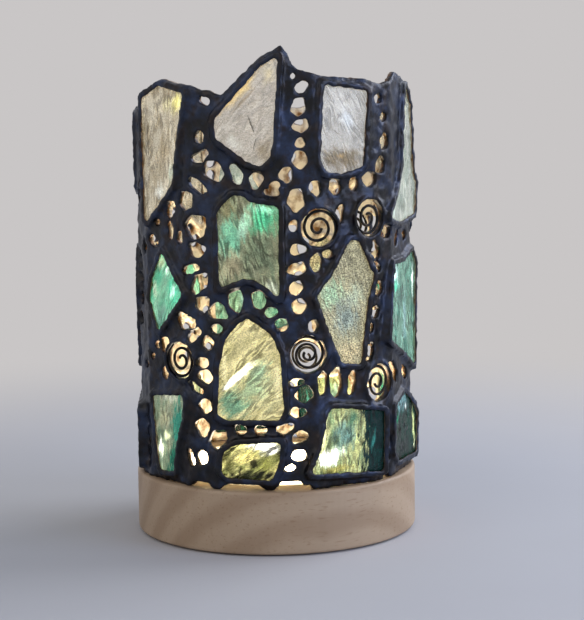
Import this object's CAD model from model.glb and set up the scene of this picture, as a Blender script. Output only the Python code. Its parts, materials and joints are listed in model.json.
import json
import math
import random

import bmesh
import bpy
import numpy as np
from mathutils import Matrix, Vector
from mathutils.bvhtree import BVHTree


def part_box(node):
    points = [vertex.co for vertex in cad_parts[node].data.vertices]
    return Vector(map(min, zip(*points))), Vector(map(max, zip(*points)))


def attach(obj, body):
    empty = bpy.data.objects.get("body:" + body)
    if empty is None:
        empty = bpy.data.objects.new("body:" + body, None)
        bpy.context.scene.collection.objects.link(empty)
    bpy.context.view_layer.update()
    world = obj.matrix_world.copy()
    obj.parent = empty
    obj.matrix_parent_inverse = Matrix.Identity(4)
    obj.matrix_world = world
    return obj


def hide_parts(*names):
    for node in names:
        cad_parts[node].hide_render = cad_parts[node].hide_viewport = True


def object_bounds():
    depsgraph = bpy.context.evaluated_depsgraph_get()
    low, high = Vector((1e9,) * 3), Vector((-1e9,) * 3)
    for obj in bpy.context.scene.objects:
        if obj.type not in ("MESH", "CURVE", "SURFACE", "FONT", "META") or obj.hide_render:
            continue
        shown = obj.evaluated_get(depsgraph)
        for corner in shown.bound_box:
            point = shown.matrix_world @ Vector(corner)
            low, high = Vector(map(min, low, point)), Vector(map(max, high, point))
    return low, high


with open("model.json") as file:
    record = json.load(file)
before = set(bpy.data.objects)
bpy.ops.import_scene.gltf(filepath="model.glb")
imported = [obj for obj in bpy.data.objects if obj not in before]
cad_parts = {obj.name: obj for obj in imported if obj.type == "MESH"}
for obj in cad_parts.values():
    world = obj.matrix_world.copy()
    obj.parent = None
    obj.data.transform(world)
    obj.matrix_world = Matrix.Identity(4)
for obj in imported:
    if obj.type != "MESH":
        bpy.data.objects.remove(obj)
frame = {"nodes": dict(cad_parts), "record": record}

bl_info = {
    "name": "Stained-glass lamp",
    "version": (1, 0, 0),
    "blender": (4, 5, 0),
    "location": "3D View > Sidebar > Lamp",
    "description": "Dresses the lamp in lumpy solder, streaky glass, curled wire and turned beech",
    "category": "Object",
}

MM = 0.001
CAD_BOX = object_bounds()
NODES = frame["nodes"]
RECORD = frame["record"]
BODY_OF = {node: body for body, nodes in RECORD["behaviour"]["bodies"].items() for node in nodes}
PANELS = sorted(node for node in NODES if node.startswith("lattice_panel_"))
PANES = sorted(node for node in NODES if node.startswith("pane_"))
SPIRALS = sorted(node for node in NODES if node.startswith("wire_spirals_"))
TABLE_Z = CAD_BOX[0].z
SHADE_FOOT = min(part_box(node)[0].z for node in PANELS)
SHADE_TOP = max(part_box(node)[1].z for node in PANELS)

# The photograph's frame and the camera that it was taken with, found from the two rims of the base. The place
# is in metres and the angles are in radians
FRAME_WIDTH, FRAME_HEIGHT = 584, 620
FOCAL_PIXELS = 1742
CAMERA_PLACE = (0, -0.620, 0.1512)
AIM_PIXELS = 17.9
CAMERA_PITCH = 0.1185
CAMERA_ROLL = -0.013
SENSOR = 36
CLIP_START = 0.01

# Soft lights: name, place in metres, side in metres, power in watts and colour
SOFT_LIGHTS = (
    ("window", (0.75, 0.35, 0.55), 0.7, 6.0, "#F4F6FF"),
    ("sky", (0.85, -0.45, 0.4), 0.6, 3.8, "#CBDAFF"),
    ("room", (-0.6, -0.6, 0.7), 0.9, 1.8, "#FFF3E6"),
)

# Distances from the lamp at which the floor starts to fade into the background, and is gone
FADE_START = 120 * MM
FADE_END = 450 * MM

# Copies of the solids: points this close are merged, faces this flat are joined, edges this sharp are broken,
# and what is left sharper than the last angle is shaded sharp
MERGE = 0.005 * MM
FLAT_ANGLE = math.radians(1)
EDGE_ANGLE = math.radians(40)
SHARP_ANGLE = math.radians(35)

# Lumps of solder: how many are tried, the seed of their places, how squarely their face looks outwards, how
# many radii of the largest they keep off the glass, and their least size and depth as shares of a radius
LUMP_TRIES = 420
LUMP_SEED = 11
LUMP_FACING = 0.6
LUMP_CLEAR = 1.6
LUMP_LEAST = 0.5
LUMP_SUNK = 0.6

# The rebuilt solder: passes that round it, a level of its swells that draws it in, and the share of its
# triangles that is kept
SOLDER_PASSES = 3
SOLDER_LEVEL = 0.82
SOLDER_KEPT = 0.28

# The end of the patina: the depth that it fades over, and how soon it fades where the solder turns inwards
PATINA_FADE = 1.0 * MM
TURN_GAIN = 2
TURN_START = 0.2

# The rebuilt glass: passes that round it, the stretch of its streaks, how far its patches are torn, how close
# its crinkles lie, how far they are torn, and how much more they brighten than darken
GLASS_PASSES = 2
STREAK_STRETCH = 3.5
PATCH_TEAR = 2
CRINKLE_LINES = 44
CRINKLE_TEAR = 6
CRINKLE_LIFT = 1.3

# Wire: how far its points go out, because subdivision draws them in, how bent and how skewed a joined face may
# be, and the levels of subdivision
WIRE_SWELL = 0.05 * MM
WIRE_FACE_ANGLE = math.radians(40)
WIRE_SHAPE_ANGLE = math.radians(60)
WIRE_LEVELS = 2

# Beech: how strongly its flecks show, and their width as a share of their length
FLECK_AMOUNT = 0.45
FLECK_SHAPE = 0.12

# Strength of the lit surfaces, and where they start to fade towards their rim and to what share
DIFFUSER_STRENGTH = 11.0
CHIP_STRENGTH = 8.0
RIM_START = 0.75
RIM_SHARE = 0.06

# Rounding of the edges of small pieces in mm. All others take the broken edge in LampSizes
SMALL_EDGES = {
    "light_board": 0.1, "lights": 0.1, "resistors": 0.08, "board_screws": 0.12, "cover_screws": 0.15,
    "switch_body": 0.15, "switch_button": 0.15, "inlet_socket": 0.15, "inlet_pin": 0.15,
    "inlet_lead": 0.05, "switched_lead": 0.05, "return_lead": 0.05,
}

# A Mix node has sockets of the same name for each kind of value, so colours and plain values go by number
FACTOR = 0
TINT_A, TINT_B, TINT = 6, 7, 2
VALUE_A, VALUE_B, VALUE = 2, 3, 0


def linear(code):
    """The linear colour of an sRGB hex value."""
    parts = [int(code[i:i + 2], 16) / 255 for i in (1, 3, 5)]
    return tuple(p / 12.92 if p <= 0.04045 else ((p + 0.055) / 1.055) ** 2.4 for p in parts) + (1.0,)


def length(name, description, default):
    """A length property whose default is in millimetres."""
    return bpy.props.FloatProperty(name=name, description=description, default=default * MM, unit="LENGTH",
                                   precision=5)


def colour(name, description, default):
    """A colour property whose default is an sRGB hex value."""
    return bpy.props.FloatVectorProperty(name=name, description=description, default=linear(default)[:3],
                                         subtype="COLOR", size=3, min=0, max=1)


class LampSizes(bpy.types.PropertyGroup):
    """Sizes of the finish"""

    solder_cell: length("Solder cell", "Cell that the lattice is rebuilt from", 0.55)
    lump_r: length("Lump radius", "Radius of the larger lumps of solder", 1.3)
    wave: length("Solder wave", "Distance between the swells of the solder", 5)
    wave_height: length("Solder wave height", "Height of those swells", 0.7)
    dimple: length("Solder dimple", "Distance between the dimples of the solder", 1.7)
    dimple_height: length("Solder dimple height", "Height of those dimples", 0.22)
    patina_end: length("Patina's end", "Distance from the lamp's axis that the patina reaches in to", 45.9)
    glass_cell: length("Glass cell", "Cell that a pane is rebuilt from", 0.75)
    ripple: length("Glass ripple", "Distance between the ripples of the glass", 7)
    ripple_height: length("Glass ripple height", "Height of those ripples", 0.7)
    pit: length("Glass pit", "Distance between the small pits of the glass", 1.8)
    pit_height: length("Glass pit height", "Height of those pits", 0.22)
    edge: length("Broken edge", "Rounding of the edges of turned and moulded pieces", 0.25)
    floor_r: length("Floor radius", "Radius of the floor that the lamp stands on", 2500)


class LampColours(bpy.types.PropertyGroup):
    """Colours of the finish"""

    patina: colour("Patina", "Black patina in the hollows of the solder", "#111317")
    patina_sheen: colour("Patina sheen", "Blue-grey bloom where the patina is thin", "#2B3A58")
    patina_gloss: colour("Patina gloss", "Tint of the gloss on the patina", "#C0C8D8")
    patina_brown: colour("Patina brown", "Brown-purple spots in the patina", "#211A1B")
    bare_solder: colour("Inside of the solder", "Pale solder inside the shade, where no patina is", "#E5DCCD")
    stained_solder: colour("Stain inside", "Bronze stain at the patina's end and inside the shade", "#7C5628")
    wood: colour("Beech", "Pale early wood", "#BBA286")
    wood_dark: colour("Beech rings", "Late wood of the rings", "#A58A6E")
    wood_fleck: colour("Beech flecks", "Short brown flecks along the grain", "#8C6844")
    light: colour("Light", "Warm white of the lights", "#FFE8C2")
    floor: colour("Floor", "Pale floor", "#C6C7CC")
    backdrop: colour("Backdrop", "Pale background", "#C9C6C6")


def sizes():
    """The sizes that the panel shows."""
    return bpy.context.scene.lamp_sizes


def tone(name):
    """A colour that the panel shows, with its alpha."""
    return tuple(getattr(bpy.context.scene.lamp_colours, name)) + (1.0,)


def connect(tree, node, links):
    """Sets or links a shader node's inputs by name or number."""
    for socket, value in links.items():
        if isinstance(value, bpy.types.NodeSocket):
            tree.links.new(value, node.inputs[socket])
        else:
            node.inputs[socket].default_value = value


def add(tree, kind, links=None, **settings):
    """Adds one shader node with its settings and the values or links of its inputs."""
    node = tree.nodes.new("ShaderNode" + kind)
    for name, value in settings.items():
        setattr(node, name, value)
    connect(tree, node, links or {})
    return node


def set_stops(ramp, start, end, first="#000000", last="#FFFFFF"):
    """Sets where a colour ramp starts and ends, and its two colours."""
    for stop, position, code in zip(ramp.color_ramp.elements, (start, end), (first, last)):
        stop.position = position
        stop.color = linear(code)


def new_material(name):
    """An empty node material with its output and a Principled shader."""
    material = bpy.data.materials.new(name)
    material.use_nodes = True
    tree = material.node_tree
    tree.nodes.clear()
    shader = add(tree, "BsdfPrincipled")
    add(tree, "OutputMaterial", {"Surface": shader.outputs[0]})
    return material, tree, shader


def copy_of(*nodes):
    """A bmesh of one CAD node or more with the loose triangles merged."""
    shape = bmesh.new()
    for node in nodes:
        shape.from_mesh(NODES[node].data)
    bmesh.ops.remove_doubles(shape, verts=shape.verts, dist=MERGE)
    return shape


def flat_copy(node):
    """A bmesh of one CAD node whose flat faces are whole, not cut in triangles."""
    shape = copy_of(node)
    bmesh.ops.dissolve_limit(shape, angle_limit=FLAT_ANGLE, verts=shape.verts, edges=shape.edges)
    return shape


def piece_from(shape, name):
    """An object of a finished bmesh, at the origin."""
    mesh = bpy.data.meshes.new(name)
    shape.to_mesh(mesh)
    shape.free()
    piece = bpy.data.objects.new(name, mesh)
    bpy.context.scene.collection.objects.link(piece)
    return piece


def rebuild(piece, cell, passes):
    """Rebuilds a piece from even cells and rounds its edges."""
    remesh = piece.modifiers.new("rebuild", "REMESH")
    remesh.mode = "VOXEL"
    remesh.voxel_size = cell
    smooth = piece.modifiers.new("round", "SMOOTH")
    smooth.factor = 0.5
    smooth.iterations = passes


def swell(piece, name, distance, height, depth, level=0.5):
    """A clouded displacement with its swells a real distance apart. A level over 0.5 draws the piece in."""
    texture = bpy.data.textures.new(name, "CLOUDS")
    texture.noise_scale = distance / 2
    texture.noise_depth = depth
    modifier = piece.modifiers.new(name, "DISPLACE")
    modifier.texture = texture
    modifier.texture_coords = "LOCAL"
    modifier.mid_level = level
    modifier.strength = height


def bake(piece):
    """Makes a piece's modifiers part of its mesh, and shades it smooth."""
    graph = bpy.context.evaluated_depsgraph_get()
    mesh = bpy.data.meshes.new_from_object(piece.evaluated_get(graph))
    rough = piece.data
    piece.modifiers.clear()
    piece.data = mesh
    bpy.data.meshes.remove(rough)
    mesh.name = piece.name
    mesh.shade_smooth()


def points_of(mesh, what):
    """The places or normals of a mesh's points, in rows of three."""
    values = np.zeros(len(mesh.vertices) * 3, np.float32)
    mesh.vertices.foreach_get(what, values)
    return values.reshape(-1, 3)


def outward(face):
    """How squarely a face looks away from the lamp's axis, up to 1."""
    return face.normal.dot(Vector((*face.calc_center_median().xy, 0)).normalized())


def stand_for(piece, material, *nodes):
    """Lets a piece stand for its CAD nodes, on their body and with their slot."""
    piece.data.materials.clear()
    piece.data.materials.append(material)
    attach(piece, BODY_OF[nodes[0]])
    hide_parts(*nodes)


def softened(node, material):
    """Replaces a rigid CAD node by a copy with its sharp edges broken."""
    edge = SMALL_EDGES[node] * MM if node in SMALL_EDGES else sizes().edge
    shape = flat_copy(node)
    sharp = [e for e in shape.edges if len(e.link_faces) == 2 and e.calc_face_angle() > EDGE_ANGLE]
    bmesh.ops.bevel(shape, geom=sharp, offset=edge, offset_type="OFFSET", affect="EDGES", segments=2,
                    profile=0.5, material=-1, clamp_overlap=True)
    piece = piece_from(shape, node + "_dressed")
    piece.data.shade_smooth()
    piece.data.set_sharp_from_angle(angle=SHARP_ANGLE)
    stand_for(piece, material, node)


def patina_material():
    """Solder under waxed black patina: satin, blue-grey where rubbed, bronze at its end and pale inside."""
    material, tree, shader = new_material("black_patina_solder")
    place = add(tree, "TexCoord").outputs["Object"]
    cloud = add(tree, "TexNoise", {"Vector": place, "Scale": 1 / (9 * MM), "Detail": 4, "Roughness": 0.6})
    rub = add(tree, "ValToRGB", {"Fac": cloud.outputs["Fac"]})
    set_stops(rub, 0.42, 0.72)
    spot = add(tree, "TexNoise", {"Vector": place, "Scale": 1 / (4 * MM), "Detail": 3})
    brown = add(tree, "ValToRGB", {"Fac": spot.outputs["Fac"]})
    set_stops(brown, 0.48, 0.68)
    blue = add(tree, "Mix", {FACTOR: rub.outputs["Color"], TINT_A: tone("patina"),
                             TINT_B: tone("patina_sheen")}, data_type="RGBA")
    outside = add(tree, "Mix", {FACTOR: brown.outputs["Color"], TINT_A: blue.outputs[TINT],
                                TINT_B: tone("patina_brown")}, data_type="RGBA")
    # The mark runs from 0 outside to 1 inside: from patina to a bronze stain half way, and on to pale solder
    inner = add(tree, "Attribute", attribute_name="inner")
    flux = add(tree, "MapRange", {"Value": spot.outputs["Fac"], "From Min": 0.48, "From Max": 0.68})
    stain = add(tree, "Mix", {FACTOR: flux.outputs["Result"], TINT_A: tone("bare_solder"),
                              TINT_B: tone("stained_solder")}, data_type="RGBA")
    deep = add(tree, "MapRange", {"Value": inner.outputs["Fac"], "From Min": 0.5})
    inside = add(tree, "Mix", {FACTOR: deep.outputs["Result"], TINT_A: tone("stained_solder"),
                               TINT_B: stain.outputs[TINT]}, data_type="RGBA")
    past = add(tree, "MapRange", {"Value": inner.outputs["Fac"], "From Max": 0.5})
    both = add(tree, "Mix", {FACTOR: past.outputs["Result"], TINT_A: outside.outputs[TINT],
                             TINT_B: inside.outputs[TINT]}, data_type="RGBA")
    shine = add(tree, "MapRange", {"Value": cloud.outputs["Fac"], "To Min": 0.3, "To Max": 0.52})
    metal = add(tree, "MapRange", {"Value": inner.outputs["Fac"], "To Min": 0.8, "To Max": 0.35})
    grit = add(tree, "TexNoise", {"Vector": place, "Scale": 1 / (0.9 * MM), "Detail": 5, "Roughness": 0.6})
    bump = add(tree, "Bump", {"Height": grit.outputs["Fac"], "Strength": 0.35, "Distance": 0.3 * MM})
    connect(tree, shader, {"Base Color": both.outputs[TINT], "Roughness": shine.outputs["Result"],
                           "Metallic": metal.outputs["Result"], "Specular Tint": tone("patina_gloss"),
                           "Coat Weight": 0.45, "Coat Roughness": 0.28, "Normal": bump.outputs["Normal"]})
    return material


def wire_material():
    """Tinned copper wire under black patina: smooth and satin, with bright rubbed spots."""
    material, tree, shader = new_material("black_patina_wire")
    place = add(tree, "TexCoord").outputs["Object"]
    rub = add(tree, "TexNoise", {"Vector": place, "Scale": 1 / (2.5 * MM), "Detail": 3})
    ramp = add(tree, "ValToRGB", {"Fac": rub.outputs["Fac"]})
    set_stops(ramp, 0.45, 0.8, "#121316", "#4A4038")
    shine = add(tree, "MapRange", {"Value": rub.outputs["Fac"], "To Min": 0.22, "To Max": 0.42})
    bump = add(tree, "Bump", {"Height": rub.outputs["Fac"], "Strength": 0.2, "Distance": 0.1 * MM})
    connect(tree, shader, {"Base Color": ramp.outputs["Color"], "Roughness": shine.outputs["Result"],
                           "Metallic": 0.7, "Normal": bump.outputs["Normal"]})
    return material


# Looks of the thirteen kinds of pane. The tints run from the plain glass to its streaks, and the pull is the
# turn of the streaks from upright in degrees. Crinkle and grain are how strongly lines and fine grain show,
# glow is how brightly the pane is lit, and clear is how much shows through. A patch is a soft area of other
# glass: its middle across the column and up from the shade's foot in mm, half width, half height, turn, tint,
# amount and brightness. An amount over 1 gives it a harder edge.
LOOKS = {
    "tall": dict(
        plain="#CFC9B8", streak="#9E937B", pull=-3, crinkle=0.4, grain=0.4, glow=0.42, clear=0.65,
        patches=(
            (7.5, 129.5, 4.5, 5, -25, "#F7EF96", 0.95, 1.25),  # bright yellow corner
            (2, 129, 4, 3.5, 0, "#E3DDB0", 0.6, 0.7),  # cream beside it
            (-9, 117, 0.9, 14, 2, "#6F6552", 0.7, 0.2),  # dark left edge
            (-4.5, 133, 3, 2.5, 20, "#8F8571", 0.6, 0.3),  # dull top
            (0, 113, 4, 6, 0, "#A89A80", 0.6, 0.4),  # tan middle
            (3.5, 106, 2.2, 5, -12, "#BFD3C6", 0.7, 0.6),  # green-grey streak
            (-3, 100, 3.5, 3.5, 0, "#E6EEEE", 0.7, 0.8),  # white foot
        )),
    "peak": dict(
        plain="#C6C2BB", streak="#BAB5AC", pull=-40, crinkle=0.15, grain=0.28, glow=0.42, clear=0.75,
        patches=(
            (-3, 132.5, 2.6, 12, -44, "#DCC58A", 0.8, 0.85),  # gold along the slope
            (-1, 130, 0.7, 8, -44, "#8E7648", 0.55, 0.35),  # brown line beside it
            (7.5, 139, 3, 5, -25, "#D8CBA0", 0.5, 0.8),  # cream tip
            (5.5, 113.5, 3.5, 4, 0, "#9C9078", 0.7, 0.35),  # dull foot
            (-4, 116, 3, 4, 40, "#D5D6D2", 0.6, 0.65),  # white left corner
            (1.6, 122, 0.35, 4.2, 20, "#2E2922", 0.9, 0.05),  # dark scratch
            (2.4, 115, 0.25, 4, -14, "#4A4339", 0.7, 0.1),  # fainter scratch
        )),
    "upright": dict(
        plain="#C9C9C6", streak="#B5B6B4", pull=24, crinkle=0.28, grain=0.25, glow=0.42, clear=0.7,
        patches=(
            (1.5, 124, 3.2, 6, 26, "#D9E2EC", 0.75, 0.62),  # cool white streak
            (0, 110.3, 11, 5, -4, "#877858", 0.9, 0.3),  # brown foot
            (-1, 111.5, 1.6, 1.2, 0, "#E0BE80", 0.7, 0.9),  # gold glint in it
            (-5.5, 131.5, 0.35, 3, 38, "#5B5340", 0.7, 0.15),  # dark scratch
            (-3, 119.5, 0.3, 4.5, 55, "#77736B", 0.6, 0.2),  # grey scratch
        )),
    "blade": dict(
        plain="#C9CCC2", streak="#9AA79C", pull=4, crinkle=0.3, grain=0.25, glow=0.42, clear=0.6,
        patches=(
            (-10, 92, 4, 3.5, 15, "#D3E6DA", 0.85, 0.75),  # pale green toe
            (0, 95, 6, 5, 0, "#7E8F84", 0.7, 0.35),  # grey-green foot
            (4, 126, 3, 6, 0, "#E6E2B8", 0.6, 0.8),  # cream top
            (2, 112, 2, 9, 0, "#D6D6CA", 0.6, 0.6),  # pale middle
        )),
    "bow": dict(
        plain="#98977A", streak="#7C8A6E", pull=12, crinkle=0.5, grain=0.35, glow=0.5, clear=0.3,
        patches=(
            (-6.5, 94, 5, 6, 0, "#8E8862", 0.85, 0.42),  # olive corner
            (-6, 85.5, 6, 9, -10, "#74B898", 0.85, 0.56),  # green left side
            (5.5, 91, 8, 8, 10, "#58C292", 0.92, 0.72),  # bright green right side
            (-1.5, 89, 2.6, 7, -15, "#B4E6CC", 0.6, 0.85),  # mint streak
            (5.5, 94.5, 6, 2.4, -8, "#A6E5C6", 0.55, 0.9),  # mint top
            (4.5, 79, 8, 8, 0, "#727E64", 0.85, 0.34),  # dull green below
            (-6, 75, 5, 6, 0, "#A39A7C", 0.8, 0.5),  # tan left side
            (7.5, 68.5, 3, 3.5, 30, "#D5DCC6", 0.7, 0.7),  # pale lower corner
            (-0.7, 76, 0.4, 2.4, 8, "#3E4636", 0.8, 0.08),  # dark scratch
        )),
    "diamond": dict(
        plain="#8FBFA3", streak="#5FB593", pull=-25, crinkle=0.4, grain=0.2, glow=0.55, clear=0.3,
        patches=(
            (-3, 75.5, 2.5, 4, -15, "#D6DFB4", 0.85, 0.8),  # pale yellow top
            (-7, 66, 1.8, 5, 0, "#D3DBBE", 0.7, 0.7),  # pale left corner
            (4, 66, 4.5, 7, 30, "#57C9A4", 0.85, 0.8),  # bright green right side
            (3.5, 66.5, 1.6, 4.5, -30, "#DDFBEC", 0.8, 1.25),  # white glint
            (0.5, 73, 1.4, 3.5, -20, "#E6FBE8", 0.8, 1.2),  # glint above it
            (-4, 57, 3.5, 6, -15, "#7FA598", 0.85, 0.42),  # grey-green foot
        )),
    "flag": dict(
        plain="#7FA690", streak="#3F7262", pull=2, crinkle=0.6, grain=0.35, glow=0.45, clear=0.3,
        patches=(
            (-7.5, 70, 4, 5, 20, "#D6FFF2", 0.9, 1.2),  # mint glint
            (-8, 66, 5, 3, 0, "#5FDDB4", 0.85, 0.85),  # bright green under it
            (-2, 61, 5, 7, 0, "#4A7466", 0.8, 0.32),  # dark green middle
            (8, 56, 3, 20, 2, "#5E7F68", 0.7, 0.32),  # dull green band
            (3, 54, 3, 10, 0, "#9FC0C4", 0.6, 0.5),  # blue-grey streak
            (13.5, 66, 1.2, 9, 0, "#E6F5E6", 0.85, 1.0),  # white right edge
        )),
    "wedge": dict(
        plain="#A3A68C", streak="#7F987E", pull=-8, crinkle=0.4, grain=0.25, glow=0.42, clear=0.25,
        patches=(
            (0, 29.5, 8, 2.5, 4, "#C2C6B2", 0.8, 0.65),  # pale top
            (5, 21, 5, 11, -10, "#2F8A76", 1.4, 0.42),  # teal right side
            (-4, 22, 4, 5, 0, "#A9A583", 0.7, 0.55),  # tan left side
            (-5.6, 12, 1.7, 5.5, 4, "#FFFFE6", 1.0, 2.2),  # white glint
            (-2, 16, 3, 2, 25, "#EAEDBE", 0.85, 1.4),  # its pale end
            (1.5, 8, 4, 9, -14, "#1E6E5A", 1.5, 0.35),  # dark teal foot
            (-4.8, 5, 1.4, 3, 0, "#B7C5A4", 0.6, 0.7),  # pale toe
        )),
    "arch": dict(
        plain="#D2C998", streak="#ABA473", pull=-50, crinkle=0.45, grain=0.4, glow=0.63, clear=0.2,
        patches=(
            (5, 34, 8, 12, 10, "#BAB78C", 0.8, 0.6),  # olive right side
            (1.5, 36, 6, 9, -30, "#A3BC96", 0.8, 0.58),  # green middle
            (3, 41, 3.5, 5, -35, "#A3C4A2", 0.6, 0.62),  # paler green above it
            (-6, 29.5, 8, 7, 0, "#6A9A7E", 0.9, 0.4),  # deep green corner
            (-4, 38.9, 1.7, 8, -48, "#FFFFF4", 1.0, 2.5),  # white slanting glint
            (9, 37, 1.4, 8, 0, "#E2DBB0", 0.7, 0.9),  # cream right edge
            (-8.8, 43, 1.2, 7, 0, "#E5DDAE", 0.7, 0.9),  # cream left edge
        )),
    "half_moon": dict(
        plain="#CFC784", streak="#70743F", pull=-60, crinkle=0.9, grain=0.45, glow=0.8, clear=0.15,
        patches=(
            (-1, 4.8, 13, 3.4, 0, "#20270F", 0.97, 0.1),  # dark foot
            (5, 8.5, 4, 3.4, 20, "#8A8C40", 0.8, 0.5),  # olive right side
            (-8, 9.5, 3, 6, 0, "#4A4E22", 0.8, 0.28),  # dark left side
            (-2, 11, 6, 2.8, 15, "#E9DC8C", 0.85, 1.15),  # yellow middle
            (4.5, 14.9, 8, 2.9, -3, "#FFFFF2", 1.0, 2.6),  # white glint along the top
        )),
    "kite": dict(
        plain="#B4AE8C", streak="#989376", pull=15, crinkle=0.3, grain=0.85, glow=0.54, clear=0.2,
        patches=(
            (-5.5, 65.5, 7.5, 6, 15, "#A9CCA9", 0.75, 0.66),  # green left side
            (0.5, 58.5, 7, 9, 5, "#92A7A2", 0.7, 0.48),  # blue-grey middle
            (4, 65, 5, 5, 0, "#B9CCB6", 0.55, 0.64),  # pale green right side
            (2, 45.5, 7, 6, 0, "#C4B48C", 0.75, 0.6),  # tan foot
            (-3, 67, 0.4, 5.5, 62, "#5F6A58", 0.6, 0.2),  # dark scratch
        )),
    "square": dict(
        plain="#C0C186", streak="#7F976C", pull=-8, crinkle=0.6, grain=0.45, glow=0.46, clear=0.2,
        patches=(
            (-0.5, 18, 7, 8, 10, "#6A948C", 0.9, 0.36),  # blue-green middle
            (3, 22.5, 4, 4, 0, "#437A5E", 0.8, 0.32),  # green top
            (-6.2, 10.6, 7, 4, 22, "#FFFFF4", 1.0, 2.8),  # white glint
            (-9.2, 19, 2.4, 9.5, -14, "#E3DEA6", 0.9, 1.05),  # cream left edge
            (-4, 6.2, 10, 1.9, 0, "#A89F52", 0.8, 0.7),  # olive foot
            (4.3, 14, 1.5, 11, 0, "#CDD08C", 0.85, 0.9),  # yellow-green band
            (15, 14, 10.4, 60, 0, "#052E2B", 4, 0.1),  # dark teal right side
            (11, 15, 1, 5, -12, "#3E8F86", 0.7, 0.4),  # teal streak in it
        )),
    "corner": dict(
        plain="#073629", streak="#031A12", pull=-8, crinkle=0.8, grain=0.4, glow=0.2, clear=0.0,
        patches=(
            (-1, 25, 11, 5, -5, "#6F9A9A", 0.85, 0.36),  # blue-grey top
            (-8, 19, 5, 5, 0, "#1F7A56", 0.85, 0.36),  # green left side
            (4, 22, 1.6, 2, 0, "#DDE8E0", 0.85, 0.9),  # white glint
            (14, 13, 2, 8, 10, "#D3DE96", 0.85, 1.0),  # yellow-green right edge
            (0, 7.5, 14, 4.5, 0, "#10201B", 0.85, 0.1),  # dark foot
            (15, 7, 1, 2.5, 0, "#E9F0C4", 0.8, 1.1),  # pale glint in the corner
        )),
}


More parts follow.
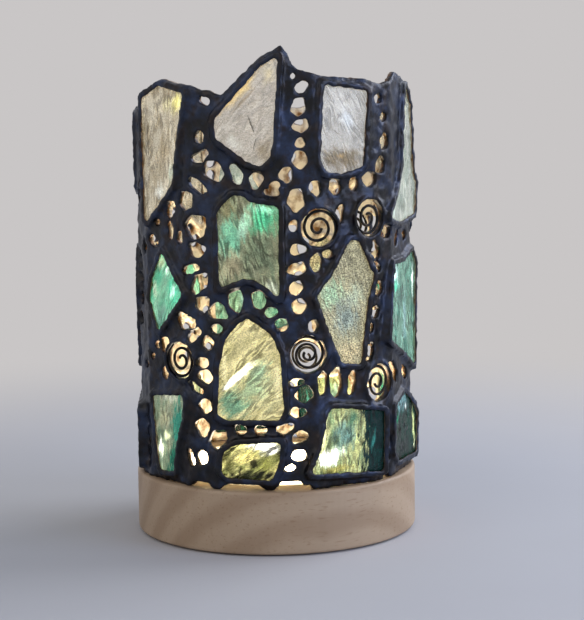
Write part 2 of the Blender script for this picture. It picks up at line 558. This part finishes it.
def glass_material(kind, look):
    """Hand-rolled streaky glass lit from inside: crinkled, with fine grain, and more or less clear."""
    material, tree, shader = new_material("streaky_glass_" + kind)
    flat = add(tree, "UVMap", uv_map="pane").outputs["UV"]
    pulled = add(tree, "Mapping", {"Vector": flat, "Rotation": (0, 0, math.radians(look["pull"])),
                                   "Scale": (1, STREAK_STRETCH, 1)}, vector_type="TEXTURE").outputs["Vector"]
    wisp = add(tree, "TexNoise", {"Vector": pulled, "Scale": 1 / (4 * MM), "Detail": 5, "Roughness": 0.65,
                                  "Distortion": 0.6})
    ramp = add(tree, "ValToRGB", {"Fac": wisp.outputs["Fac"]})
    set_stops(ramp, 0.4, 0.62, look["plain"], look["streak"])
    tint = ramp.outputs["Color"]
    glow = look["glow"]
    torn = add(tree, "TexNoise", {"Vector": pulled, "Scale": 1 / (1.6 * MM), "Detail": 4, "Roughness": 0.65})
    wander = add(tree, "VectorMath", {0: torn.outputs["Color"], 1: (0.5, 0.5, 0.5)}, operation="SUBTRACT")
    for across, up, half_width, half_height, turn, shade, amount, shine in look["patches"]:
        spot = add(tree, "Mapping", {"Vector": flat, "Location": (across * MM, up * MM, 0),
                                     "Rotation": (0, 0, math.radians(turn)),
                                     "Scale": (half_width * MM, half_height * MM, 1)}, vector_type="TEXTURE")
        moved = add(tree, "VectorMath", {0: wander.outputs[0], 1: (PATCH_TEAR, PATCH_TEAR, 0),
                                         2: spot.outputs["Vector"]}, operation="MULTIPLY_ADD")
        ball = add(tree, "TexGradient", {"Vector": moved.outputs[0]}, gradient_type="SPHERICAL")
        mask = add(tree, "MapRange", {"Value": ball.outputs["Fac"], "From Max": 0.85, "To Max": amount},
                   interpolation_type="SMOOTHSTEP").outputs["Result"]
        tint = add(tree, "Mix", {FACTOR: mask, TINT_A: tint, TINT_B: linear(shade)},
                   data_type="RGBA").outputs[TINT]
        glow = add(tree, "Mix", {FACTOR: mask, VALUE_A: glow, VALUE_B: shine}).outputs[VALUE]
    # Crinkles follow the height lines of a torn swell, bright and dark side by side, in some places only
    land = add(tree, "TexNoise", {"Vector": pulled, "Scale": 1 / (5 * MM), "Detail": 3, "Distortion": 0.5})
    jagged = add(tree, "Math", {0: torn.outputs["Fac"], 1: CRINKLE_TEAR}, operation="MULTIPLY")
    steps = add(tree, "Math", {0: land.outputs["Fac"], 1: CRINKLE_LINES, 2: jagged.outputs[0]},
                operation="MULTIPLY_ADD")
    waves = add(tree, "Math", {0: steps.outputs[0]}, operation="SINE")
    some = add(tree, "TexNoise", {"Vector": flat, "Scale": 1 / (6 * MM), "Detail": 2})
    where = add(tree, "MapRange", {"Value": some.outputs["Fac"], "From Min": 0.38, "From Max": 0.62})
    lines = add(tree, "Math", {0: waves.outputs[0], 1: where.outputs["Result"]}, operation="MULTIPLY")
    crinkle = add(tree, "MapRange", {"Value": lines.outputs[0], "From Min": -0.7, "From Max": 0.7,
                                     "To Min": 1 - look["crinkle"],
                                     "To Max": 1 + CRINKLE_LIFT * look["crinkle"]})
    sand = add(tree, "TexNoise", {"Vector": flat, "Scale": 1 / (0.55 * MM), "Detail": 2, "Roughness": 0.6})
    grain = add(tree, "MapRange", {"Value": sand.outputs["Fac"], "From Min": 0.3, "From Max": 0.7,
                                   "To Min": 1 - look["grain"], "To Max": 1 + look["grain"]})
    both = add(tree, "Math", {0: crinkle.outputs["Result"], 1: grain.outputs["Result"]}, operation="MULTIPLY")
    body = add(tree, "VectorMath", {0: tint, "Scale": both.outputs[0]}, operation="SCALE").outputs[0]
    # The panes are lit from the base, so they glow less towards the crown
    high = add(tree, "SeparateXYZ", {0: add(tree, "TexCoord").outputs["Object"]})
    near = add(tree, "MapRange", {"Value": high.outputs["Z"], "From Min": SHADE_FOOT, "From Max": SHADE_TOP,
                                  "To Min": 0.85, "To Max": 0.55})
    lit = add(tree, "Math", {0: glow, 1: near.outputs["Result"]}, operation="MULTIPLY")
    emitted = add(tree, "VectorMath", {0: body, "Scale": lit.outputs[0]}, operation="SCALE")
    gloss = add(tree, "MapRange", {"Value": sand.outputs["Fac"], "To Min": 0.06, "To Max": 0.22})
    bump = add(tree, "Bump", {"Height": both.outputs[0], "Strength": 0.6, "Distance": 0.3 * MM})
    connect(tree, shader, {"Base Color": body, "Emission Color": emitted.outputs[0], "Emission Strength": 1.0,
                           "Transmission Weight": look["clear"], "IOR": 1.5, "Specular IOR Level": 0.2,
                           "Roughness": gloss.outputs["Result"], "Normal": bump.outputs["Normal"]})
    return material


def beech_material():
    """Turned and oiled beech: pale pinkish tan, soft rings across the board and short brown flecks."""
    material, tree, shader = new_material("oiled_beech")
    place = add(tree, "TexCoord").outputs["Object"]
    board = add(tree, "Mapping", {"Vector": place, "Location": (20 * MM, 60 * MM, 50 * MM),
                                  "Rotation": (math.radians(12), math.radians(7), math.radians(-24))})
    bend = add(tree, "TexNoise", {"Vector": board.outputs["Vector"], "Scale": 1 / (45 * MM), "Detail": 3})
    swayed = add(tree, "VectorMath", {0: bend.outputs["Color"], 1: (0, 12 * MM, 12 * MM),
                                      2: board.outputs["Vector"]}, operation="MULTIPLY_ADD")
    rings = add(tree, "TexWave", {"Vector": swayed.outputs[0], "Scale": 1 / (40 * MM), "Distortion": 1.5,
                                  "Detail": 3, "Detail Scale": 1.5}, wave_type="RINGS", rings_direction="X")
    ring = add(tree, "MapRange", {"Value": rings.outputs["Fac"], "From Min": 0.2, "From Max": 0.9,
                                  "To Max": 0.75})
    along = add(tree, "Mapping", {"Vector": board.outputs["Vector"], "Scale": (FLECK_SHAPE, 1, 1)})
    fibre = add(tree, "TexNoise", {"Vector": along.outputs["Vector"], "Scale": 1 / (0.7 * MM), "Detail": 4})
    fleck = add(tree, "ValToRGB", {"Fac": fibre.outputs["Fac"]})
    set_stops(fleck, 0.58, 0.72)
    pale = add(tree, "Mix", {FACTOR: ring.outputs["Result"], TINT_A: tone("wood"), TINT_B: tone("wood_dark")},
               data_type="RGBA")
    part = add(tree, "Math", {0: fleck.outputs["Color"], 1: FLECK_AMOUNT}, operation="MULTIPLY")
    wood = add(tree, "Mix", {FACTOR: part.outputs[0], TINT_A: pale.outputs[TINT], TINT_B: tone("wood_fleck")},
               data_type="RGBA")
    shine = add(tree, "MapRange", {"Value": fibre.outputs["Fac"], "To Min": 0.38, "To Max": 0.6})
    bump = add(tree, "Bump", {"Height": fibre.outputs["Fac"], "Strength": 0.25, "Distance": 0.1 * MM})
    connect(tree, shader, {"Base Color": wood.outputs[TINT], "Roughness": shine.outputs["Result"],
                           "Normal": bump.outputs["Normal"]})
    return material


# Finishes of the small pieces: two close tones and the roughness, and where they aren't the usual ones, how
# metallic it is, and the width and height of its grit in mm. The grit is drawn coarser than it is, so that it
# shows
FINISHES = {
    # Printed solder mask: flat, faintly green white with a satin gloss
    "white_solder_mask": dict(low="#E4E7E1", high="#F1F2EC", roughness=0.4),
    # Glazed ceramic chips: near black with a soft gloss
    "black_ceramic": dict(low="#1B1B1D", high="#2C2C2F", roughness=0.35),
    # Zinc plate on steel: bright, faintly blue-grey and slightly uneven
    "zinc_plated_steel": dict(low="#A9ABAF", high="#C9CACB", roughness=0.3, metallic=1.0, grit=0.3),
    # ABS moulded in a spark-eroded tool: black and dull with a fine grain
    "black_moulded_abs": dict(low="#1C1C1E", high="#2A2A2D", roughness=0.5, grit=0.4),
    # ABS moulded in a polished tool: black, smooth and glossy
    "gloss_black_abs": dict(low="#202023", high="#2E2E32", roughness=0.2, grit=0.6, bump_height=0.01),
    # Pressed felt: dark grey, matt and rough
    "pressed_felt": dict(low="#1E1E22", high="#34343A", roughness=0.92, grit=0.35, bump_height=0.3),
    # Brass off the lathe: bright yellow and faintly uneven
    "turned_brass": dict(low="#B9973F", high="#D6BC72", roughness=0.25, metallic=1.0),
    # Extruded vinyl: an even red or black with a soft gloss
    "red_vinyl": dict(low="#9E1E22", high="#B92C30", roughness=0.45),
    "black_vinyl": dict(low="#17171A", high="#252529", roughness=0.45),
}


def small_finish(name):
    """A finish of the small pieces, made once."""
    return bpy.data.materials.get(name) or moulded_material(name, **FINISHES[name])


def moulded_material(name, low, high, roughness, metallic=0.0, grit=0.5, bump_height=0.04):
    """A moulded, plated or pressed surface: two close tones, fine grit and slightly uneven gloss."""
    material, tree, shader = new_material(name)
    place = add(tree, "TexCoord").outputs["Object"]
    cloud = add(tree, "TexNoise", {"Vector": place, "Scale": 1 / (3 * MM), "Detail": 4})
    ramp = add(tree, "ValToRGB", {"Fac": cloud.outputs["Fac"]})
    set_stops(ramp, 0.35, 0.7, low, high)
    shine = add(tree, "MapRange", {"Value": cloud.outputs["Fac"], "To Min": roughness - 0.08,
                                   "To Max": roughness + 0.1})
    grain = add(tree, "TexNoise", {"Vector": place, "Scale": 1 / (grit * MM), "Detail": 3})
    bump = add(tree, "Bump", {"Height": grain.outputs["Fac"], "Strength": 0.4, "Distance": bump_height * MM})
    connect(tree, shader, {"Base Color": ramp.outputs["Color"], "Roughness": shine.outputs["Result"],
                           "Metallic": metallic, "Normal": bump.outputs["Normal"]})
    return material


def lit_material(name, strength, rim):
    """A frosted surface that gives warm light, and fades towards a rim that is shaded from below."""
    material, tree, shader = new_material(name)
    place = add(tree, "TexCoord").outputs["Object"]
    # The frost is drawn coarser than it is, so that it shows
    frost = add(tree, "TexNoise", {"Vector": place, "Scale": 1 / (0.8 * MM), "Detail": 3})
    pale = add(tree, "MapRange", {"Value": frost.outputs["Fac"], "To Min": 0.85, "To Max": 1.0})
    skin = add(tree, "VectorMath", {0: linear("#FBF4E4")[:3], "Scale": pale.outputs["Result"]},
               operation="SCALE")
    level = add(tree, "VectorMath", {0: place, 1: (1, 1, 0)}, operation="MULTIPLY")
    away = add(tree, "VectorMath", {0: level.outputs[0]}, operation="LENGTH")
    fade = add(tree, "MapRange", {"Value": away.outputs["Value"], "From Min": RIM_START * rim,
                                  "From Max": rim, "To Min": 1.0, "To Max": RIM_SHARE},
               interpolation_type="SMOOTHSTEP")
    power = add(tree, "Math", {0: pale.outputs["Result"], 1: fade.outputs["Result"]}, operation="MULTIPLY")
    warm = add(tree, "VectorMath", {0: tone("light")[:3], "Scale": power.outputs[0]}, operation="SCALE")
    connect(tree, shader, {"Base Color": skin.outputs[0], "Emission Color": warm.outputs[0],
                           "Emission Strength": strength, "Roughness": 0.5})
    return material


def mark_inside(piece):
    """Marks the lattice where it faces the lamp's axis, or lies nearer to it than the patina reaches."""
    mesh = piece.data
    places = points_of(mesh, "co")[:, :2]
    away = np.linalg.norm(places, axis=1)
    facing = -(points_of(mesh, "normal")[:, :2] * places).sum(axis=1) / away
    turned = TURN_GAIN * facing - TURN_START
    depth = (sizes().patina_end - away) / PATINA_FADE + 0.5
    inner = mesh.attributes.new("inner", "FLOAT", "POINT")
    inner.data.foreach_set("value", np.clip(np.maximum(turned, depth), 0, 1).astype(np.float32))


class LAMP_OT_solder(bpy.types.Operator):
    """Rebuilds the solder lattice as one lumpy casting, with round edges and drops of solder"""

    bl_idname = "lamp.solder"
    bl_label = "Solder lattice"

    def execute(self, context):
        size = sizes()
        shape = copy_of(*PANELS)
        bmesh.ops.triangulate(shape, faces=shape.faces)
        self.drops(shape, size.lump_r)
        piece = piece_from(shape, "solder_lattice_dressed")
        rebuild(piece, size.solder_cell, SOLDER_PASSES)
        swell(piece, "solder_waves", size.wave, size.wave_height, 1, SOLDER_LEVEL)
        swell(piece, "solder_dimples", size.dimple, size.dimple_height, 2)
        thin = piece.modifiers.new("thin", "DECIMATE")
        thin.ratio = SOLDER_KEPT
        bake(piece)
        mark_inside(piece)
        stand_for(piece, patina_material(), *PANELS)
        return {"FINISHED"}

    def drops(self, shape, largest):
        """Adds drops of solder here and there on the outside, clear of the glass."""
        chance = random.Random(LUMP_SEED)
        outer = [f for f in shape.faces if outward(f) > LUMP_FACING]
        faces = chance.choices(outer, weights=[f.calc_area() for f in outer], k=LUMP_TRIES)
        panes = copy_of(*PANES)
        glass = BVHTree.FromBMesh(panes)
        panes.free()
        for place in [f.calc_center_median() for f in faces]:
            if glass.find_nearest(place)[3] < LUMP_CLEAR * largest:
                continue
            radius = largest * chance.uniform(LUMP_LEAST, 1)
            sunk = Matrix.Translation(place * (1 - LUMP_SUNK * radius / place.xy.length))
            bmesh.ops.create_icosphere(shape, subdivisions=1, radius=radius, matrix=sunk)


def across_pane(shape):
    """The level direction in the plane of a pane, to the right as seen from outside."""
    front = max((f for f in shape.faces if outward(f) > 0), key=lambda f: f.calc_area())
    return Vector((0, 0, 1)).cross(front.normal).normalized()


def lay_flat(piece, across):
    """A UV map in metres: across the pane from the column's middle, and up from the shade's foot."""
    mesh = piece.data
    corners = np.zeros(len(mesh.loops), np.int32)
    mesh.loops.foreach_get("vertex_index", corners)
    places = points_of(mesh, "co")[corners]
    flat = np.stack((places @ np.array(across, np.float32), places[:, 2] - SHADE_FOOT), axis=1)
    mesh.uv_layers.new(name="pane").data.foreach_set("uv", flat.ravel())


class LAMP_OT_glass(bpy.types.Operator):
    """Rebuilds each pane as a rippled sheet, with its streaks laid in the pane's own plane"""

    bl_idname = "lamp.glass"
    bl_label = "Glass panes"

    def execute(self, context):
        size = sizes()
        made = {}
        for node in PANES:
            kind = node.split("_", 2)[2]
            if kind not in made:
                made[kind] = glass_material(kind, LOOKS[kind])
            shape = flat_copy(node)
            across = across_pane(shape)
            piece = piece_from(shape, node + "_dressed")
            rebuild(piece, size.glass_cell, GLASS_PASSES)
            swell(piece, "glass_ripples", size.ripple, size.ripple_height, 1)
            swell(piece, "glass_pits", size.pit, size.pit_height, 1)
            bake(piece)
            lay_flat(piece, across)
            stand_for(piece, made[kind], node)
        return {"FINISHED"}


class LAMP_OT_wire(bpy.types.Operator):
    """Rounds the curled wires and gives them their patina"""

    bl_idname = "lamp.wire"
    bl_label = "Wire spirals"

    def execute(self, context):
        material = wire_material()
        for node in SPIRALS:
            shape = copy_of(node)
            bmesh.ops.join_triangles(shape, faces=shape.faces, angle_face_threshold=WIRE_FACE_ANGLE,
                                     angle_shape_threshold=WIRE_SHAPE_ANGLE)
            for vert in shape.verts:
                vert.co += vert.normal * WIRE_SWELL
            piece = piece_from(shape, node + "_dressed")
            curve = piece.modifiers.new("round", "SUBSURF")
            curve.levels = WIRE_LEVELS
            curve.render_levels = WIRE_LEVELS
            bake(piece)
            stand_for(piece, material, node)
        return {"FINISHED"}


class LAMP_OT_base(bpy.types.Operator):
    """Dresses the turned wooden base"""

    bl_idname = "lamp.base"
    bl_label = "Wooden base"

    def execute(self, context):
        softened("base_body", beech_material())
        return {"FINISHED"}


class LAMP_OT_lights(bpy.types.Operator):
    """Dresses the diffuser and the light board under it"""

    bl_idname = "lamp.lights"
    bl_label = "Lights"

    def execute(self, context):
        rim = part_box("diffuser")[1].x
        softened("diffuser", lit_material("frosted_acrylic", DIFFUSER_STRENGTH, rim))
        softened("light_board", small_finish("white_solder_mask"))
        softened("lights", lit_material("yellow_phosphor", CHIP_STRENGTH, rim))
        softened("resistors", small_finish("black_ceramic"))
        softened("board_screws", small_finish("zinc_plated_steel"))
        return {"FINISHED"}


class LAMP_OT_underside(bpy.types.Operator):
    """Dresses the bottom cover, its screws and the felt pad"""

    bl_idname = "lamp.underside"
    bl_label = "Underside"

    def execute(self, context):
        softened("bottom_cover", small_finish("black_moulded_abs"))
        softened("cover_screws", small_finish("zinc_plated_steel"))
        softened("felt_pad", small_finish("pressed_felt"))
        return {"FINISHED"}


class LAMP_OT_rear(bpy.types.Operator):
    """Dresses the push switch, the power inlet and their leads at the back of the base"""

    bl_idname = "lamp.rear"
    bl_label = "Switch and inlet"

    def execute(self, context):
        softened("switch_body", small_finish("black_moulded_abs"))
        softened("switch_button", small_finish("gloss_black_abs"))
        softened("switch_nut", small_finish("zinc_plated_steel"))
        softened("inlet_socket", small_finish("black_moulded_abs"))
        softened("inlet_pin", small_finish("turned_brass"))
        softened("inlet_nut", small_finish("zinc_plated_steel"))
        softened("inlet_lead", small_finish("red_vinyl"))
        softened("switched_lead", small_finish("red_vinyl"))
        softened("return_lead", small_finish("black_vinyl"))
        return {"FINISHED"}


def seen_directly(tree):
    """1 where the camera, gloss or clear glass sees a surface, and 0 where it only gives light."""
    path = add(tree, "LightPath")
    gloss = add(tree, "Math", {0: path.outputs["Is Camera Ray"], 1: path.outputs["Is Glossy Ray"]},
                operation="MAXIMUM")
    seen = add(tree, "Math", {0: gloss.outputs[0], 1: path.outputs["Is Transmission Ray"]},
               operation="MAXIMUM")
    return seen.outputs[0]


class LAMP_OT_stage(bpy.types.Operator):
    """Makes the camera, the soft lights, the pale floor and the pale background"""

    bl_idname = "lamp.stage"
    bl_label = "Stage"

    def execute(self, context):
        scene = context.scene
        scene.view_settings.view_transform = "Standard"
        self.camera(scene)
        self.world(scene)
        self.floor()
        for light in SOFT_LIGHTS:
            self.softbox(scene, *light)
        return {"FINISHED"}

    def camera(self, scene):
        """Camera at the photograph's viewing angle."""
        data = bpy.data.cameras.new("camera")
        data.sensor_width = SENSOR
        data.lens = FOCAL_PIXELS * SENSOR / max(FRAME_WIDTH, FRAME_HEIGHT)
        data.clip_start = CLIP_START
        camera = bpy.data.objects.new("camera", data)
        aim = math.atan2(AIM_PIXELS, FOCAL_PIXELS)
        turn = Matrix.Rotation(-aim, 4, "Z") @ Matrix.Rotation(math.pi / 2 - CAMERA_PITCH, 4, "X")
        camera.matrix_world = Matrix.Translation(CAMERA_PLACE) @ turn @ Matrix.Rotation(CAMERA_ROLL, 4, "Z")
        scene.collection.objects.link(camera)
        scene.camera = camera

    def world(self, scene):
        """Even light all round, and a pale background where camera, gloss and glass see past the floor."""
        world = bpy.data.worlds.new("studio")
        world.use_nodes = True
        tree = world.node_tree
        tree.nodes.clear()
        even = add(tree, "Background", {"Color": linear("#DDE2EC"), "Strength": 0.45})
        pale = add(tree, "Background", {"Color": tone("backdrop"), "Strength": 1.0})
        both = add(tree, "MixShader", {0: seen_directly(tree), 1: even.outputs[0], 2: pale.outputs[0]})
        add(tree, "OutputWorld", {"Surface": both.outputs[0]})
        scene.world = world

    def floor(self):
        """A pale matt floor that fades into the background away from the lamp."""
        shape = bmesh.new()
        bmesh.ops.create_circle(shape, cap_ends=True, segments=96, radius=sizes().floor_r,
                                matrix=Matrix.Translation((0, 0, TABLE_Z)))
        floor = piece_from(shape, "floor")
        material, tree, shader = new_material("pale_paper")
        place = add(tree, "TexCoord").outputs["Object"]
        mottle = add(tree, "TexNoise", {"Vector": place, "Scale": 1 / (60 * MM), "Detail": 2})
        pale = add(tree, "MapRange", {"Value": mottle.outputs["Fac"], "To Min": 0.97, "To Max": 1.03})
        paper = add(tree, "VectorMath", {0: tone("floor")[:3], "Scale": pale.outputs["Result"]},
                    operation="SCALE")
        connect(tree, shader, {"Base Color": paper.outputs[0], "Roughness": 0.7})
        away = add(tree, "VectorMath", {0: place}, operation="LENGTH")
        fade = add(tree, "MapRange", {"Value": away.outputs["Value"], "From Min": FADE_START,
                                      "From Max": FADE_END}, interpolation_type="SMOOTHSTEP")
        glow = add(tree, "Emission", {"Color": tone("backdrop"), "Strength": 1.0})
        part = add(tree, "Math", {0: fade.outputs["Result"], 1: seen_directly(tree)}, operation="MULTIPLY")
        both = add(tree, "MixShader", {0: part.outputs[0], 1: shader.outputs[0], 2: glow.outputs[0]})
        connect(tree, tree.nodes["Material Output"], {"Surface": both.outputs[0]})
        floor.data.materials.append(material)

    def softbox(self, scene, name, place, side, power, shade):
        """One square soft light that faces the middle of the shade."""
        data = bpy.data.lights.new(name, "AREA")
        data.size = side
        data.energy = power
        data.color = linear(shade)[:3]
        light = bpy.data.objects.new(name, data)
        middle = Vector((0, 0, (SHADE_FOOT + SHADE_TOP) / 2))
        turn = (middle - Vector(place)).to_track_quat("-Z", "Y").to_matrix().to_4x4()
        light.matrix_world = Matrix.Translation(place) @ turn
        scene.collection.objects.link(light)


class LAMP_PT_panel(bpy.types.Panel):
    """The lamp's pieces, sizes and colours"""

    bl_idname = "LAMP_PT_panel"
    bl_label = "Stained-glass lamp"
    bl_space_type = "VIEW_3D"
    bl_region_type = "UI"
    bl_category = "Lamp"

    def draw(self, context):
        for operator in OPERATORS:
            self.layout.operator(operator.bl_idname)
        for group in (context.scene.lamp_sizes, context.scene.lamp_colours):
            for name in group.bl_rna.properties.keys():
                if name not in ("rna_type", "name"):
                    self.layout.prop(group, name)


OPERATORS = (LAMP_OT_stage, LAMP_OT_solder, LAMP_OT_glass, LAMP_OT_wire, LAMP_OT_base, LAMP_OT_lights,
             LAMP_OT_underside, LAMP_OT_rear)
CLASSES = (LampSizes, LampColours, *OPERATORS, LAMP_PT_panel)


def register():
    for kind in CLASSES:
        bpy.utils.register_class(kind)
    bpy.types.Scene.lamp_sizes = bpy.props.PointerProperty(type=LampSizes)
    bpy.types.Scene.lamp_colours = bpy.props.PointerProperty(type=LampColours)


def unregister():
    del bpy.types.Scene.lamp_colours
    del bpy.types.Scene.lamp_sizes
    for kind in reversed(CLASSES):
        bpy.utils.unregister_class(kind)


def main():
    register()
    for operator in OPERATORS:
        group, name = operator.bl_idname.split(".")
        getattr(getattr(bpy.ops, group), name)()


if __name__ == "__main__":
    main()
